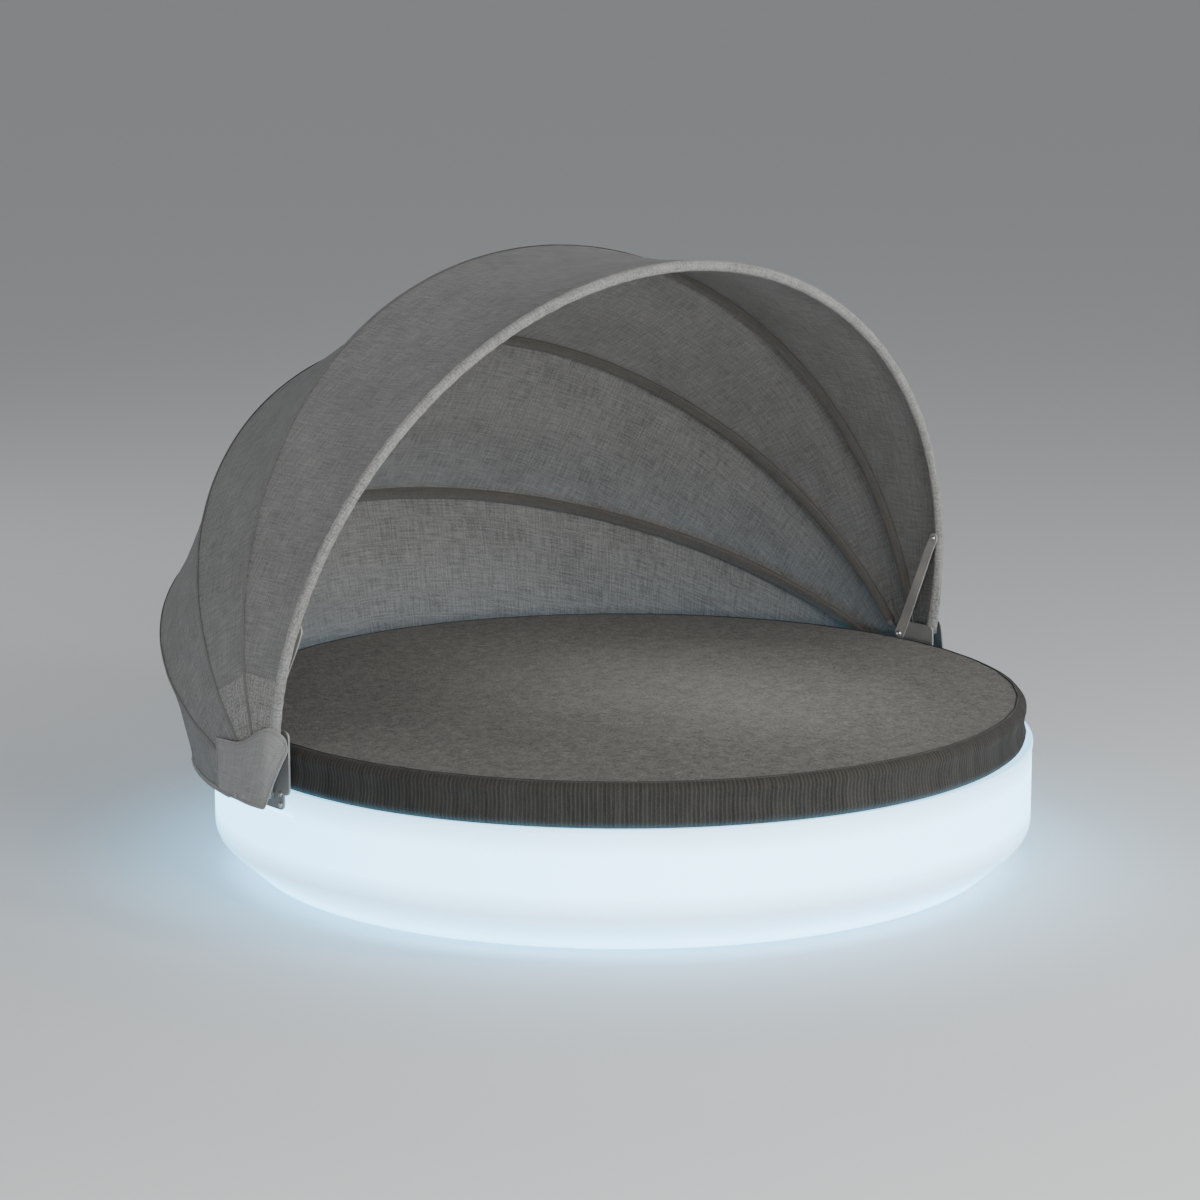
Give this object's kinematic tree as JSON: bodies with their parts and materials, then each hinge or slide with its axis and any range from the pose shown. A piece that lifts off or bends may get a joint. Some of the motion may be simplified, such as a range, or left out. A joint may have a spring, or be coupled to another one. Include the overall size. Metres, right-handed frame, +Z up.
{
  "type": "daybed",
  "caption": "Round outdoor daybed: a glowing moulded base carries a thick round mattress, and a cloth canopy on half-round hoops folds back behind it.",
  "frame": {"origin": "on the floor at the axis of the round base, where the feet's undersides lie in the floor's plane", "axes": "+Z up; X along the canopy's pivot axis, +X to the sitter's left hand when facing out of the open front; -Y out of the open front"},
  "size_m": [2.2132, 2.2772, 1.5519],
  "materials": {
    "glow_shell": "translucent satin rotation-moulded plastic, lit from inside",
    "black_rubber": "matte black rubber",
    "stainless_steel": "brushed stainless steel",
    "nylon": "plain nylon",
    "grey_plastic": "matte grey moulded plastic",
    "circuit_board": "white lacquered circuit board",
    "led_light": "clear resin over a light",
    "opal_plastic": "opal diffusing plastic",
    "foam": "open-cell foam",
    "mattress_cloth": "woven outdoor cloth in warm dark grey",
    "mattress_trim": "dark grey piping and zip tape",
    "brass": "turned brass",
    "stud_plastic": "black moulded plastic",
    "coated_plate": "fine-textured dark grey powder coat over aluminium plate",
    "coated_aluminium": "dark grey powder coat over aluminium",
    "canopy_cloth": "tightly woven outdoor canopy cloth in grey",
    "sleeve_cloth": "dark grey cloth tape sewn round the hoop",
    "canopy_trim": "dark grey binding tape"
  },
  "bodies": {
    "base": {"base_shell": "glow_shell", "rubber_foot_ring": "black_rubber", "foot_screws": "stainless_steel", "lamp_cover": "grey_plastic", "lamp_gasket": "black_rubber", "lamp_cover_screws": "stainless_steel", "driver_box": "grey_plastic", "board_standoffs": "grey_plastic", "lamp_board": "circuit_board", "lamp_leds": "led_light", "lamp_diffuser": "opal_plastic", "power_socket": "grey_plastic", "socket_cap": "black_rubber", "mattress_core": "foam", "mattress_cover": "mattress_cloth", "mattress_piping": "mattress_trim", "mattress_zip": "mattress_trim", "zip_slider": "stainless_steel", "mattress_grips": "black_rubber", "bracket_bolts": "stainless_steel", "wall_inserts": "brass", "pivot_bolts": "stainless_steel", "hub_washers": "nylon", "pivot_nuts": "stainless_steel", "hub_bracket_left": "coated_plate", "hub_bracket_right": "coated_plate", "hub_flap_left": "canopy_cloth", "hub_flap_right": "canopy_cloth", "flap_studs": "stud_plastic", "rear_hoop": "coated_aluminium", "rear_hoop_sleeve": "sleeve_cloth", "rear_hoop_ends": "coated_aluminium", "hoop_clips": "coated_aluminium", "clip_screws": "stainless_steel", "rear_hem": "canopy_trim"},
    "front_hoop": {"front_hoop": "coated_aluminium", "front_hoop_sleeve": "sleeve_cloth", "front_hoop_ends": "coated_aluminium", "canopy_panel_1": "canopy_cloth", "front_hem": "canopy_trim", "stay_pins": "stainless_steel"},
    "hoop_2": {"hoop_2": "coated_aluminium", "hoop_2_sleeve": "sleeve_cloth", "hoop_2_ends": "coated_aluminium", "canopy_panel_2": "canopy_cloth"},
    "hoop_3": {"hoop_3": "coated_aluminium", "hoop_3_sleeve": "sleeve_cloth", "hoop_3_ends": "coated_aluminium", "canopy_panel_3": "canopy_cloth"},
    "hoop_4": {"hoop_4": "coated_aluminium", "hoop_4_sleeve": "sleeve_cloth", "hoop_4_ends": "coated_aluminium", "canopy_panel_4": "canopy_cloth"},
    "stay_left": {"stay_left": "coated_plate", "stay_screw_left": "stainless_steel", "stay_nut_left": "stainless_steel"},
    "stay_right": {"stay_right": "coated_plate", "stay_screw_right": "stainless_steel", "stay_nut_right": "stainless_steel"}
  },
  "joints": [
    {"name": "canopy_fold", "type": "hinge", "parent": "base", "child": "hoop_4", "pos_m": [0, 0.04, 0.307], "axis": [-1, 0, 0], "range_deg": [0, 14.6], "deforming": ["canopy_panel_4"]},
    {"name": "hoop_3_fold", "type": "hinge", "parent": "hoop_4", "child": "hoop_3", "pos_m": [0, 0.04, 0.307], "axis": [-1, 0, 0], "range_deg": [0, 19.9], "deforming": ["canopy_panel_3"]},
    {"name": "hoop_2_fold", "type": "hinge", "parent": "hoop_3", "child": "hoop_2", "pos_m": [0, 0.04, 0.307], "axis": [-1, 0, 0], "range_deg": [0, 19.9], "deforming": ["canopy_panel_2"]},
    {"name": "front_hoop_fold", "type": "hinge", "parent": "hoop_2", "child": "front_hoop", "pos_m": [0, 0.04, 0.307], "axis": [-1, 0, 0], "range_deg": [0, 19.9], "deforming": ["canopy_panel_1"]},
    {"name": "stay_left_swing", "type": "hinge", "parent": "front_hoop", "child": "stay_left", "pos_m": [-1.03, -0.05054, 0.72224], "axis": [-1, 0, 0], "range_deg": [0, 15.36]},
    {"name": "stay_right_swing", "type": "hinge", "parent": "front_hoop", "child": "stay_right", "pos_m": [1.03, -0.05054, 0.72224], "axis": [-1, 0, 0], "range_deg": [0, 15.36]}
  ],
  "couplings": [
    {"joint": "hoop_3_fold", "follows": "canopy_fold", "ratio": 1.363},
    {"joint": "hoop_2_fold", "follows": "canopy_fold", "ratio": 1.363},
    {"joint": "front_hoop_fold", "follows": "canopy_fold", "ratio": 1.363},
    {"joint": "stay_left_swing", "follows": "canopy_fold", "ratio": 1.0519},
    {"joint": "stay_right_swing", "follows": "canopy_fold", "ratio": 1.0519}
  ]
}
